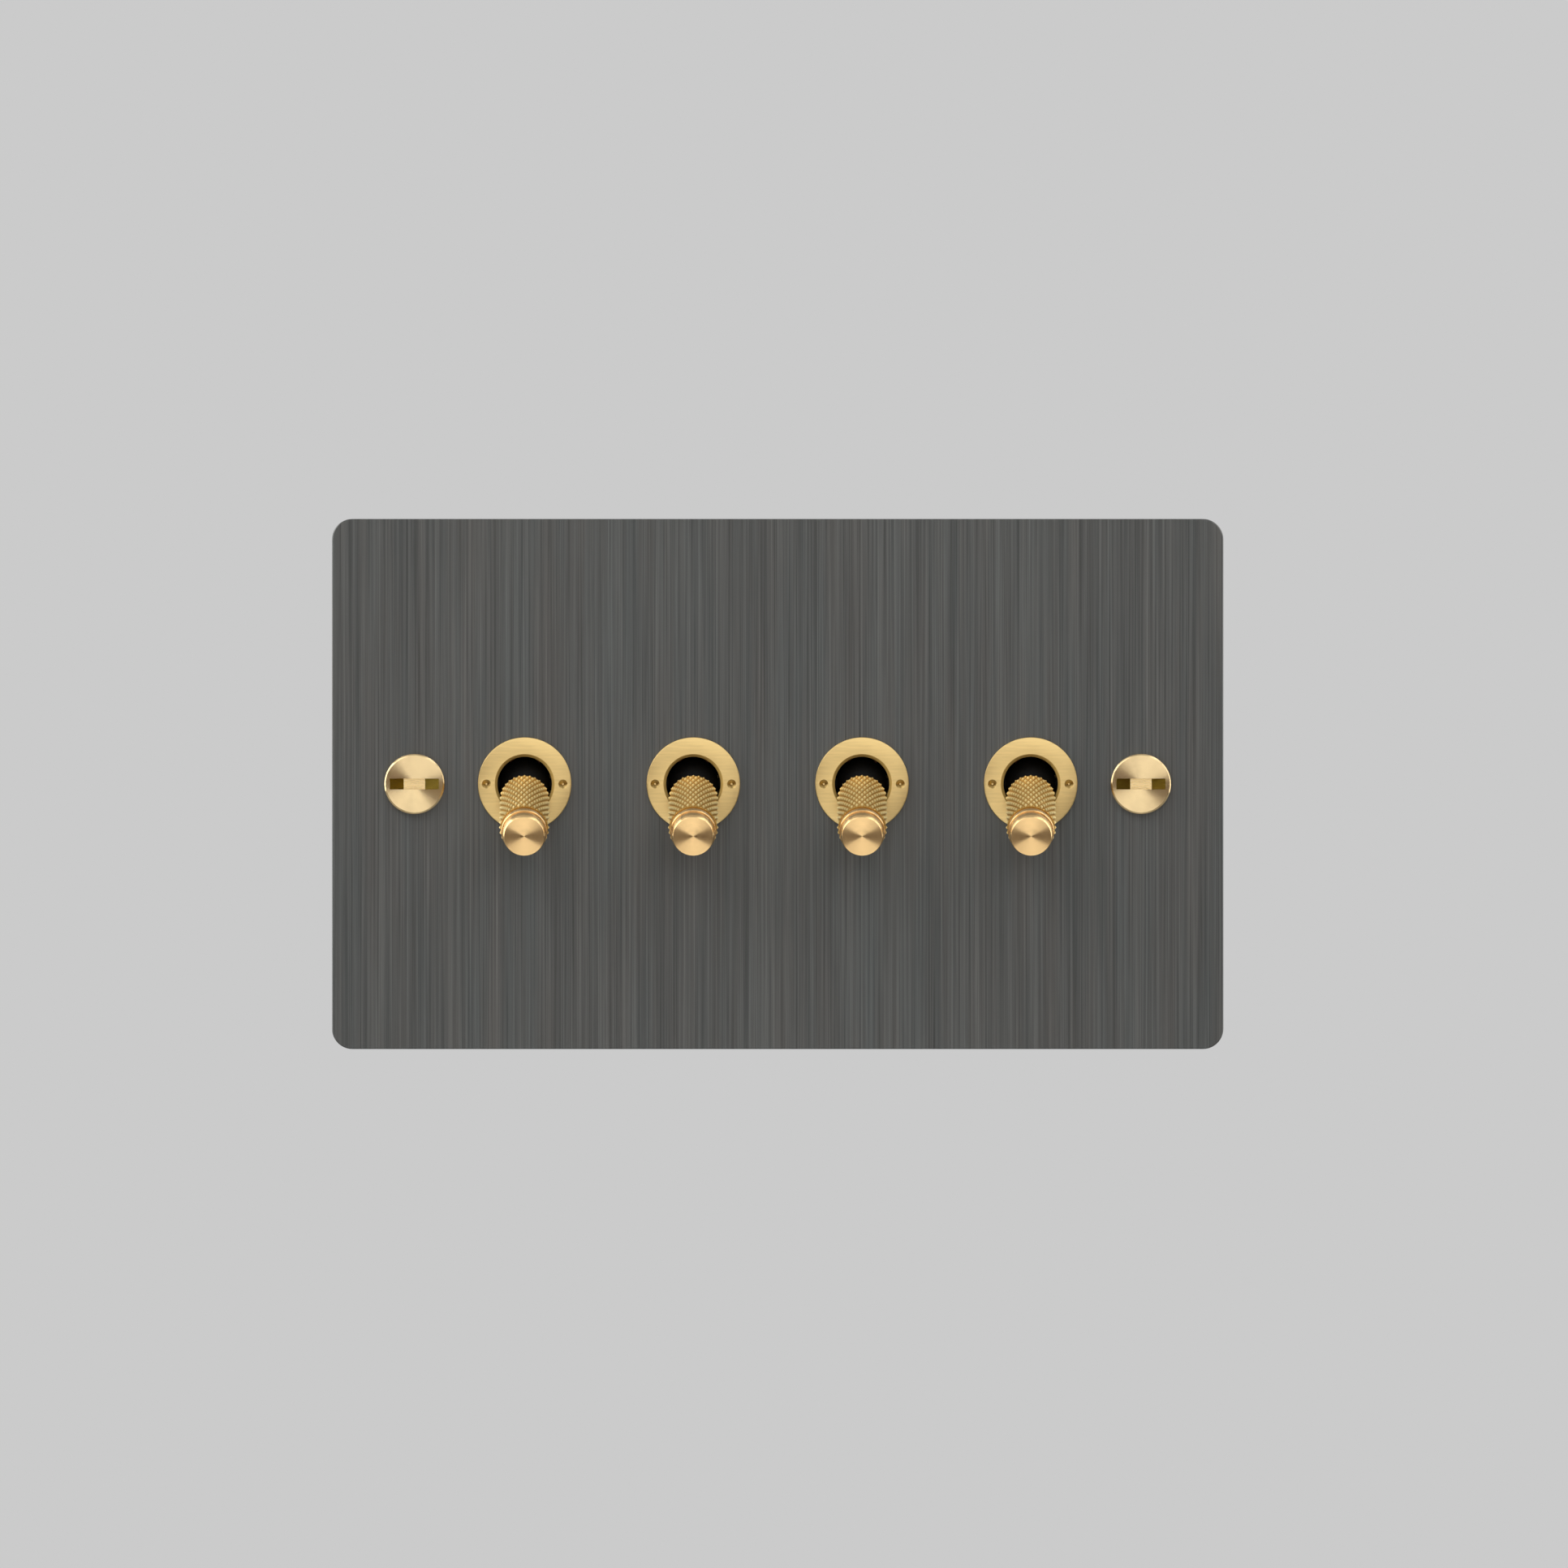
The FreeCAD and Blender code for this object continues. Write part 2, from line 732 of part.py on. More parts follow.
def make_spring(number):
    """Steel coil spring from the bottom of the tube into the plunger."""
    name = f"spring_{number}"
    coil = doc.addObject("Part::Helix", f"{name}_coil")
    bind(coil, Radius="spring_radius", Pitch="spring_pitch", Height="spring_length")
    wire = doc.addObject("Part::Circle", f"{name}_wire")
    wire.Placement = FreeCAD.Placement(FreeCAD.Vector(), FreeCAD.Rotation(X_AXIS, 90))
    bind(wire, Radius="spring_wire", Placement__Base__x="spring_radius")
    spring = doc.addObject("Part::Sweep", f"{name}_round_wire")
    doc.recompute()
    spring.Sections = [wire]
    spring.Spine = (coil, [f"Edge{i + 1}" for i in range(len(coil.Shape.Edges))])
    spring.Solid = True
    spring.Frenet = True
    stand(spring, depth="spring_start", turn=ROD_ALONG_Y)
    laid = doc.addObject("Part::Compound", name)
    laid.Links = [spring]
    laid.Label = name
    on_lever(laid, number)


def make_rocker(number):
    """Copper blade with a silver rivet at each end, tipping on the common knife edge."""
    name = f"rocker_{number}"
    blade = block(f"{name}_blade", ("-blade_width / 2", "blade_width / 2"),
                  ("-blade_thick", 0), ("-blade_height / 2", "blade_height / 2"))
    rivets = [rod_y(f"{name}_rivet_{end}", "rivet_radius", "-rivet_front", "rivet_back",
                    height=height)
              for end, height in (("top", "rivet_height"), ("bottom", "-rivet_height"))]
    rocker = fuse(name, [blade, *rivets])
    stand(rocker, toggle_side(number), "rocker_depth", turn=FreeCAD.Rotation(X_AXIS, 1))
    bind(rocker, Placement__Rotation__Angle="-rocker_tilt")
    keep(rocker)


def make_pivot_pins():
    """One steel pin through each module's hub and the lever's ball."""
    group("pivot_pins", [
        rod_x(f"pivot_pin_{number}", "pin_radius", "pin_length", toggle_side(number),
              "pivot_depth")
        for number in TOGGLES
    ])


make_face_plate()
make_rear_liner()
make_fixing_screw("fixing_screw_left", "-box_screw_spacing / 2")
make_fixing_screw("fixing_screw_right", "box_screw_spacing / 2")
make_screw_retainers()
make_earth_terminal()
make_pivot_pins()
make_module_screws()
for toggle in TOGGLES:
    make_collar(toggle)
    make_module_cover(toggle)
    make_module_housing(toggle)
    make_common_terminal(toggle)
    make_switched_terminal(f"upper_terminal_{toggle}", toggle, STRAIGHT)
    make_switched_terminal(f"lower_terminal_{toggle}", toggle, FreeCAD.Rotation(Y_AXIS, 180))
    make_dolly(toggle)
    make_grip(toggle)
    make_grip_cap(toggle)
    make_plunger(toggle)
    make_spring(toggle)
    make_rocker(toggle)

doc.recompute()
failed = [item.Name for item in doc.Objects
          if "Invalid" in item.State or "Error" in item.State]
failed += [piece.Label for piece in pieces
           if piece.Shape.isNull() or not piece.Shape.isValid()]
if failed:
    raise RuntimeError(f"these did not build: {failed}")

os.makedirs("parts", exist_ok=True)
for piece in pieces:
    piece.Shape.exportStep(f"parts/{piece.Label}.step")
    print(f"{piece.Label}: {len(piece.Shape.Solids)} solids, {piece.Shape.Volume:.2f} mm3")
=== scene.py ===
import json
import math
import bmesh
import bpy
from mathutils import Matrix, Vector


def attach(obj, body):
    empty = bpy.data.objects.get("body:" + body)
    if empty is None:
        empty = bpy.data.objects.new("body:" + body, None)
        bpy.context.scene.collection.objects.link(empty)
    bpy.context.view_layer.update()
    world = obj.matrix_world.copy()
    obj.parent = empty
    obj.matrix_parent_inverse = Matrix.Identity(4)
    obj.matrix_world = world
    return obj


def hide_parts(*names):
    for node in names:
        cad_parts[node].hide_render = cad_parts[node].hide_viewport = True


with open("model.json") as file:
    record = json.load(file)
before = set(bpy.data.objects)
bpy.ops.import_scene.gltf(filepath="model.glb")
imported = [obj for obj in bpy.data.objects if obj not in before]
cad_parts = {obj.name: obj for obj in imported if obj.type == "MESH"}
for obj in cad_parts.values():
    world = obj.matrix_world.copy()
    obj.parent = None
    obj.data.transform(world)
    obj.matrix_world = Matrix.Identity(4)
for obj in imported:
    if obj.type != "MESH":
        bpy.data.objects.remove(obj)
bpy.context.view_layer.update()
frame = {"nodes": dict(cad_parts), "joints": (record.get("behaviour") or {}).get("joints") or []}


# ---- The studio --------------------------------------------------------------------------
# A plain pale room with a floor below the plate. A wide panel lamp stands in front, with
# softer ones above, behind and at the sides; brown cards by the panel shade turned brass.

MM = 0.001
PAPER = (0.597, 0.597, 0.597, 1.0)
ROOM_STRENGTH = 0.45
VIEW_WIDTH = 260.3 * MM
LENS = 1500.0
SENSOR = 36.0
CAMERA_SIDE = 1.05 * MM
PLATE_THICKNESS = 1.5 * MM
CAMERA_BACK = VIEW_WIDTH * LENS / SENSOR

camera_data = bpy.data.cameras.new("camera")
camera_data.lens = LENS
camera_data.sensor_width = SENSOR
camera_data.clip_start = 0.1
camera_data.clip_end = 4 * CAMERA_BACK
camera = bpy.data.objects.new("camera", camera_data)
camera.location = (CAMERA_SIDE, -CAMERA_BACK - PLATE_THICKNESS, 0)
camera.rotation_euler = (math.pi / 2, 0, 0)
bpy.context.collection.objects.link(camera)
bpy.context.scene.camera = camera
bpy.context.scene.view_settings.view_transform = "Standard"


def paper_behind(tree, lit, output):
    """The room's surroundings: seen and mirrored as plain paper, and lit for all else."""
    path = tree.nodes.new("ShaderNodeLightPath")
    seen = tree.nodes.new("ShaderNodeMath")
    seen.operation = "MAXIMUM"
    through = tree.nodes.new("ShaderNodeMath")
    through.operation = "MAXIMUM"
    mix = tree.nodes.new("ShaderNodeMixShader")
    flat = tree.nodes.new("ShaderNodeBackground")
    flat.inputs["Color"].default_value = PAPER
    tree.links.new(path.outputs["Is Camera Ray"], seen.inputs[0])
    tree.links.new(path.outputs["Is Glossy Ray"], seen.inputs[1])
    tree.links.new(seen.outputs[0], through.inputs[0])
    tree.links.new(path.outputs["Is Transmission Ray"], through.inputs[1])
    tree.links.new(through.outputs[0], mix.inputs["Fac"])
    tree.links.new(lit.outputs[0], mix.inputs[1])
    tree.links.new(flat.outputs[0], mix.inputs[2])
    tree.links.new(mix.outputs[0], output.inputs["Surface"])


world = bpy.data.worlds.new("room")
bpy.context.scene.world = world
world.use_nodes = True
room = world.node_tree
room.nodes.clear()
room_light = room.nodes.new("ShaderNodeBackground")
room_light.inputs["Color"].default_value = (1, 1, 1, 1)
room_light.inputs["Strength"].default_value = ROOM_STRENGTH
paper_behind(room, room_light, room.nodes.new("ShaderNodeOutputWorld"))

FLOOR_DROP = 145 * MM
FLOOR_RADIUS = 0.9
FLOOR_GREY = (0.36, 0.36, 0.36, 1)
bpy.ops.mesh.primitive_circle_add(vertices=96, radius=FLOOR_RADIUS, fill_type="NGON",
                                  location=(0, 0, -FLOOR_DROP))
floor = bpy.context.object
floor.name = "floor"
floor_paint = bpy.data.materials.new("floor_paint")
floor_paint.use_nodes = True
floor_shader = floor_paint.node_tree.nodes["Principled BSDF"]
floor_shader.inputs["Base Color"].default_value = FLOOR_GREY
floor_shader.inputs["Roughness"].default_value = 0.9
floor.data.materials.append(floor_paint)
floor.visible_glossy = False


def softbox(name, place, size, power, aim=(0, 0, 0)):
    """A rectangular lamp that faces a point; place and size in metres, power in watts."""
    lamp = bpy.data.lights.new(name, "AREA")
    lamp.shape = "RECTANGLE"
    lamp.size, lamp.size_y = size
    lamp.energy = power
    holder = bpy.data.objects.new(name, lamp)
    holder.location = place
    way = Vector(aim) - Vector(place)
    holder.rotation_euler = way.to_track_quat("-Z", "Y").to_euler()
    bpy.context.collection.objects.link(holder)


softbox("front_wall", (0, -1.9, 0), (4.0, 4.0), 48.0)
softbox("overhead_right", (0.6, -0.1, 0.8), (1.2, 0.4), 3.5, (0.4, 0, 0))
softbox("upper_left", (-0.6, -0.7, 0.75), (0.7, 0.6), 4.5)
softbox("left_side", (-0.9, 0.0, 0.25), (1.2, 1.0), 13.0)
softbox("right_side", (0.9, 0.1, 0.2), (0.7, 1.0), 6.0)
softbox("from_behind", (0.0, 0.9, 0.6), (1.0, 0.6), 5.0)


# The cards are cut so that each row of turned faces mirrors them where its dark sectors lie:
# the screw heads' wedges, the lever caps' crosswise pair, and the ramps of the slots.
CARD_BROWN = (0.09, 0.035, 0.002, 1)
CARD_AWAY = 1.6


def dark_card(name, corners):
    """A matt brown card that the camera and the diffuse light don't see."""
    mesh = bpy.data.meshes.new(name)
    mesh.from_pydata(corners, [], [range(len(corners))])
    card = bpy.data.objects.new(name, mesh)
    bpy.context.collection.objects.link(card)
    card.visible_camera = False
    card.visible_diffuse = False
    card.visible_transmission = False
    cloth = bpy.data.materials.new(name)
    cloth.use_nodes = True
    shade = cloth.node_tree.nodes["Principled BSDF"]
    shade.inputs["Base Color"].default_value = CARD_BROWN
    shade.inputs["Specular IOR Level"].default_value = 0
    card.data.materials.append(cloth)


for name, side in (("left", -1), ("right", 1)):
    heads = [(0.0, 0.0), (1.0, 0.74 - side * 0.48), (1.0, -0.74 - side * 0.48)]
    caps = [(0.0, -0.674), (0.51, -0.36), (1.0, -0.1), (1.0, -1.55)]
    beside = [(0.6, -0.45), (1.6, -0.55), (1.6, 0.55), (0.6, 0.45)]
    for row, outline in (("heads", heads), ("caps", caps), ("slots", beside)):
        dark_card(f"{name}_card_for_{row}",
                  [(side * x * CARD_AWAY, -CARD_AWAY, z * CARD_AWAY) for x, z in outline])


# ---- The plate -----------------------------------------------------------------------------
# A 1.5 mm sheet, blackened to a dark grey bronze and brushed top to bottom, so the scratches
# run the whole height. The box screws hold it; its holes and chamfer come from the design.


def finish_tree(name, colour, metallic, roughness):
    """A new finish: its material, tree and shader, with the constants set on the shader."""
    material = bpy.data.materials.new(name)
    material.use_nodes = True
    tree = material.node_tree
    shader = tree.nodes["Principled BSDF"]
    shader.inputs["Base Color"].default_value = (*colour, 1)
    shader.inputs["Metallic"].default_value = metallic
    shader.inputs["Roughness"].default_value = roughness
    return material, tree, shader


def stretched_noise(tree, stretch, scale, detail=3.0, roughness=0.6, swirl=0.0):
    """Noise over the piece's own space; a stretch below 1 draws it out along that axis."""
    place = tree.nodes.new("ShaderNodeTexCoord")
    mapping = tree.nodes.new("ShaderNodeMapping")
    mapping.inputs["Scale"].default_value = stretch
    noise = tree.nodes.new("ShaderNodeTexNoise")
    noise.inputs["Scale"].default_value = scale
    noise.inputs["Detail"].default_value = detail
    noise.inputs["Roughness"].default_value = roughness
    noise.inputs["Distortion"].default_value = swirl
    tree.links.new(place.outputs["Object"], mapping.inputs["Vector"])
    tree.links.new(mapping.outputs["Vector"], noise.inputs["Vector"])
    return noise.outputs["Fac"]


def spread(tree, value, low, high):
    """Maps the middle of a noise to a range."""
    change = tree.nodes.new("ShaderNodeMapRange")
    change.inputs["From Min"].default_value = 0.25
    change.inputs["From Max"].default_value = 0.75
    change.inputs["To Min"].default_value = low
    change.inputs["To Max"].default_value = high
    tree.links.new(value, change.inputs["Value"])
    return change.outputs["Result"]


def tint(tree, factor, first, second):
    """Blends two colours, or a colour and a socket, by a factor."""
    mix = tree.nodes.new("ShaderNodeMix")
    mix.data_type = "RGBA"
    tree.links.new(factor, mix.inputs["Factor"])
    for socket, colour in ((mix.inputs[6], first), (mix.inputs[7], second)):
        if isinstance(colour, tuple):
            socket.default_value = (*colour, 1)
        else:
            tree.links.new(colour, socket)
    return mix.outputs[2]


def rough_up(tree, shader, height, strength, depth):
    """A fine relief from a height socket."""
    bump = tree.nodes.new("ShaderNodeBump")
    bump.inputs["Strength"].default_value = strength
    bump.inputs["Distance"].default_value = depth
    tree.links.new(height, bump.inputs["Height"])
    tree.links.new(bump.outputs["Normal"], shader.inputs["Normal"])


def product(tree, first, second):
    """Multiplies two sockets."""
    multiply = tree.nodes.new("ShaderNodeMath")
    multiply.operation = "MULTIPLY"
    tree.links.new(first, multiply.inputs[0])
    tree.links.new(second, multiply.inputs[1])
    return multiply.outputs[0]


def brushed_plate_finish():
    """Dark bronze whose shade varies from scratch to scratch and in broad bands."""
    material, tree, shader = finish_tree("brushed_dark_bronze", (0.1, 0.1, 0.1), 0.85, 0.42)
    fine = stretched_noise(tree, (1, 1, 0.004), 3400, 4.0, 0.75)
    medium = stretched_noise(tree, (1, 1, 0.007), 2100, 3.0, 0.6)
    broad = stretched_noise(tree, (1, 1, 0.06), 90, 2.0, 0.5)
    hue = stretched_noise(tree, (1, 1, 0.05), 420, 2.0, 0.5)
    dark_bronze = (0.096, 0.094, 0.089)
    dark_steel = (0.088, 0.093, 0.091)
    metal = tint(tree, spread(tree, hue, 0.0, 1.0), dark_bronze, dark_steel)
    streaks = product(tree, spread(tree, fine, 0.5, 1.5), spread(tree, medium, 0.8, 1.2))
    banded = product(tree, streaks, spread(tree, broad, 0.93, 1.07))
    shade = tree.nodes.new("ShaderNodeVectorMath")
    shade.operation = "SCALE"
    tree.links.new(metal, shade.inputs[0])
    tree.links.new(banded, shade.inputs["Scale"])
    tree.links.new(shade.outputs[0], shader.inputs["Base Color"])
    tree.links.new(spread(tree, fine, 0.36, 0.5), shader.inputs["Roughness"])
    rough_up(tree, shader, fine, 0.12, 0.02 * MM)
    return material


def clothe(names, material):
    """Gives CAD nodes a finish."""
    for name in names:
        node = frame["nodes"][name]
        node.data.materials.clear()
        node.data.materials.append(material)


clothe(["face_plate"], brushed_plate_finish())


# ---- The collars ---------------------------------------------------------------------------
# Brass ring nuts, screwed in from the front with a pin spanner. Each is turned from bar and
# its face lightly brushed; the two spanner holes are drilled with a pointed bit.

TOGGLES = (1, 2, 3, 4)
ROUND = 192
SMALL_ROUND = 48
COLLAR_FRONT = -2.7 * MM
FACING_OUT = (math.pi / 2, 0, 0)
COLLAR_RADIUS = 7.75
COLLAR_FLANGE = 1.2
COLLAR_THREAD = 5.95
COLLAR_BACK = 4.7
MOUTH_BORE = 4.5
MOUTH_EDGE = 4.97
MOUTH_DEPTH = 0.66
SPANNER_SIDE = 6.35
SPANNER_RADIUS = 0.75
SPANNER_DEPTH = 0.5
BIT_TIP_RADIUS = 0.16
BIT_TIP = 0.9
BIT_CLEAR = 0.2


def joint(name):
    """The frame's record of one joint."""
    return next(each for each in frame["joints"] if each["name"] == name)


PIVOTS = {number: Vector(joint(f"lever_{number}_flip")["pos_m"]) for number in TOGGLES}


def keep_sharp(build, limit):
    """Smooth shading, except over edges sharper than a limit in degrees."""
    for edge in build.edges:
        edge.smooth = (len(edge.link_faces) == 2
                       and edge.calc_face_angle(0) < math.radians(limit))
    for face in build.faces:
        face.smooth = True


def mesh_object(name, build, limit=30):
    """Makes a piece from its finished bmesh."""
    build.normal_update()
    keep_sharp(build, limit)
    mesh = bpy.data.meshes.new(name)
    build.to_mesh(mesh)
    build.free()
    piece = bpy.data.objects.new(name, mesh)
    bpy.context.collection.objects.link(piece)
    return piece


def turn_profile(build, profile, steps=ROUND, closed=True):
    """Spins (radius, height) points about Z; a radius of 0 closes to one point."""
    rings = []
    for radius, height in profile:
        if radius <= 0:
            rings.append([build.verts.new((0, 0, height * MM))])
            continue
        rings.append([
            build.verts.new((radius * MM * math.cos(2 * math.pi * k / steps),
                             radius * MM * math.sin(2 * math.pi * k / steps), height * MM))
            for k in range(steps)
        ])
    pairs = list(zip(rings, rings[1:]))
    if closed:
        pairs.append((rings[-1], rings[0]))
    for lower, upper in pairs:
        for k in range(steps):
            following = (k + 1) % steps
            corners = []
            for vertex in (lower[k % len(lower)], lower[following % len(lower)],
                           upper[following % len(upper)], upper[k % len(upper)]):
                if vertex not in corners:
                    corners.append(vertex)
            if len(corners) > 2:
                build.faces.new(corners)
    bmesh.ops.recalc_face_normals(build, faces=build.faces[:])


def drilled(piece, cutters, limit=30):
    """Takes cutters out of a piece and throws them away."""
    for cutter in cutters:
        bite = piece.modifiers.new("bite", "BOOLEAN")
        bite.object = cutter
        bite.operation = "DIFFERENCE"
        bite.solver = "EXACT"
    bpy.context.view_layer.update()
    cut_mesh = bpy.data.meshes.new_from_object(
        piece.evaluated_get(bpy.context.evaluated_depsgraph_get()))
    piece.modifiers.clear()
    piece.data = cut_mesh
    for cutter in cutters:
        bpy.data.objects.remove(cutter)
    build = bmesh.new()
    build.from_mesh(piece.data)
    keep_sharp(build, limit)
    build.to_mesh(piece.data)
    build.free()


def brass_finish(name, colour, roughness, grain, anisotropy=0.0, relief=0.15):
    """Lacquered metal with fine lines, round the axis if turned or across if brushed."""
    material, tree, shader = finish_tree(name, colour, 1.0, roughness)
    place = tree.nodes.new("ShaderNodeTexCoord")
    if grain == "turned":
        away = tree.nodes.new("ShaderNodeVectorMath")
        away.operation = "MULTIPLY"
        away.inputs[1].default_value = (1, 1, 0)
        length = tree.nodes.new("ShaderNodeVectorMath")
        length.operation = "LENGTH"
        tree.links.new(place.outputs["Object"], away.inputs[0])
        tree.links.new(away.outputs[0], length.inputs[0])
        split = tree.nodes.new("ShaderNodeSeparateXYZ")
        tree.links.new(place.outputs["Object"], split.inputs[0])
        both = tree.nodes.new("ShaderNodeCombineXYZ")
        tree.links.new(length.outputs["Value"], both.inputs["X"])
        tree.links.new(split.outputs["Z"], both.inputs["Y"])
        lines = tree.nodes.new("ShaderNodeTexNoise")
        lines.inputs["Scale"].default_value = 4500
        lines.inputs["Detail"].default_value = 3
        tree.links.new(both.outputs[0], lines.inputs["Vector"])
        lines = lines.outputs["Fac"]
    else:
        lines = stretched_noise(tree, (0.05, 1, 0.05), 7000, 3.0, 0.7)
    patches = (stretched_noise(tree, (1, 1, 1), 260, 2.0, 0.5) if grain == "turned"
               else stretched_noise(tree, (0.08, 1, 0.08), 2600, 3.0, 0.6))
    light = tuple(min(1.0, c * 1.08) for c in colour)
    dark = tuple(c * 0.90 for c in colour)
    tree.links.new(tint(tree, spread(tree, patches, 0, 1), dark, light),
                   shader.inputs["Base Color"])
    tree.links.new(spread(tree, lines, roughness - 0.03, roughness + 0.03),
                   shader.inputs["Roughness"])
    rough_up(tree, shader, lines, relief, 0.01 * MM)
    if anisotropy:
        shader.inputs["Anisotropic"].default_value = anisotropy
        shader.inputs["Anisotropic Rotation"].default_value = 0.25
        tangent = tree.nodes.new("ShaderNodeTangent")
        tangent.direction_type = "RADIAL"
        tangent.axis = "Z"
        tree.links.new(tangent.outputs[0], shader.inputs["Tangent"])
    return material


collar_brass = brass_finish("collar_brass", (0.72, 0.525, 0.225), 0.38, "brushed")
# A darker, browner copy of the collar brass for the spanner holes: painted shade in the holes.
spanner_hole_painted_shade = brass_finish("spanner_hole_painted_shade", (0.50, 0.36, 0.14), 0.42, "turned")
# A darker, browner, half matt copy of the collar brass for the mouth cone: painted shade in the
# bore's mouth.
mouth_cone_painted_shade = brass_finish("mouth_cone_painted_shade", (0.56, 0.36, 0.10), 0.55, "turned")
mouth_cone_painted_shade.node_tree.nodes["Principled BSDF"].inputs["Metallic"].default_value = 0.5
for number in TOGGLES:
    build = bmesh.new()
    turn_profile(build, [
        (MOUTH_BORE, -COLLAR_BACK), (MOUTH_BORE, -MOUTH_DEPTH), (4.52, -0.6), (4.92, -0.04),
        (MOUTH_EDGE, 0.0), (7.58, 0.0), (7.68, -0.03), (COLLAR_RADIUS, -0.12),
        (COLLAR_RADIUS, -COLLAR_FLANGE), (COLLAR_THREAD, -COLLAR_FLANGE),
        (COLLAR_THREAD, -COLLAR_BACK),
    ])
    collar = mesh_object(f"collar_ring_{number}", build)
    bits = []
    for side in (-SPANNER_SIDE, SPANNER_SIDE):
        build = bmesh.new()
        turn_profile(build, [
            (0, -BIT_TIP), (BIT_TIP_RADIUS, -BIT_TIP), (SPANNER_RADIUS, -SPANNER_DEPTH),
            (SPANNER_RADIUS, BIT_CLEAR), (0, BIT_CLEAR),
        ], SMALL_ROUND, closed=False)
        bit = mesh_object("bit", build)
        bit.location = (side * MM, 0, 0)
        bits.append(bit)
    drilled(collar, bits)
    collar.data.materials.clear()
    for brass in (collar_brass, spanner_hole_painted_shade, mouth_cone_painted_shade):
        collar.data.materials.append(brass)
    for face in collar.data.polygons:
        across, up, height = face.center / MM
        off_hole = math.hypot(abs(across) - SPANNER_SIDE, up)
        # Faces inside the spanner holes take that darker copy: painted shade.
        if off_hole < SPANNER_RADIUS + 0.01 and height < -0.05 and abs(face.normal.z) < 0.98:
            face.material_index = 1
        # The mouth cone's faces take that darker copy: painted shade.
        if 4.51 < math.hypot(across, up) < 4.95 and height > -0.7:
            face.material_index = 2
    collar.location = (PIVOTS[number].x, COLLAR_FRONT, 0)
    collar.rotation_euler = FACING_OUT
    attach(collar, "root")
    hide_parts(f"collar_{number}")


# ---- The box screws ------------------------------------------------------------------------
# M3.5 brass screws into the wall box. The broad head is spun on its face; its slot is flat
# in the middle and ramps out at both ends. The thread starts behind the fibre washer.

HEAD_FRONT = -3.3 * MM
SCREW_SIDE = 60.3 * MM
HEAD_RADIUS = 5.0
HEAD_BACK = 1.8
NECK_RADIUS = 1.38
SLOT_HALF_WIDTH = 0.9
SLOT_HALF_LENGTH = 4.075
SLOT_HALF_FLAT = 1.775
SLOT_DEPTH = 1.0
SLOT_CLEAR = 0.3
THREAD_START = 5.5
THREAD_END = 28.1
THREAD_CORE = 1.35
THREAD_CREST = 1.75
THREAD_PITCH = 0.6
spun_brass = brass_finish("spun_brass", (0.68, 0.515, 0.28), 0.25, "turned", 1.0, 0.01)
slot_brass = brass_finish("slot_brass", (0.84, 0.62, 0.31), 0.27, "brushed", relief=0.04)
# A dark copy of the screw brass for the slot's slanted ramps: painted shade.
slot_ramp_painted_shade = brass_finish("slot_ramp_painted_shade", (0.42, 0.30, 0.05), 0.25, "brushed", relief=0.04)


def threaded_shank(build):
    """Rings whose radius swings with angle and length, so a ridge climbs round the shank."""
    levels = 6
    steps = SMALL_ROUND
    rows = []
    for row in range(round((THREAD_END - THREAD_START) / THREAD_PITCH * levels) + 1):
        along = THREAD_START + THREAD_PITCH * row / levels
        fade = min(1.0, (along - THREAD_START) / THREAD_PITCH,
                   (THREAD_END - along) / THREAD_PITCH)
        ring = []
        for k in range(steps):
            phase = (row / levels + k / steps) % 1.0
            ridge = (THREAD_CREST - THREAD_CORE) * (1 - abs(2 * phase - 1))
            radius = THREAD_CORE + ridge * max(0.0, fade)
            angle = 2 * math.pi * k / steps
            ring.append(build.verts.new((radius * MM * math.cos(angle),
                                         radius * MM * math.sin(angle), -along * MM)))
        rows.append(ring)
    for lower, upper in zip(rows, rows[1:]):
        for k in range(steps):
            following = (k + 1) % steps
            build.faces.new((lower[k], lower[following], upper[following], upper[k]))
    build.faces.new(rows[0])
    build.faces.new(rows[-1])
    bmesh.ops.recalc_face_normals(build, faces=build.faces[:])


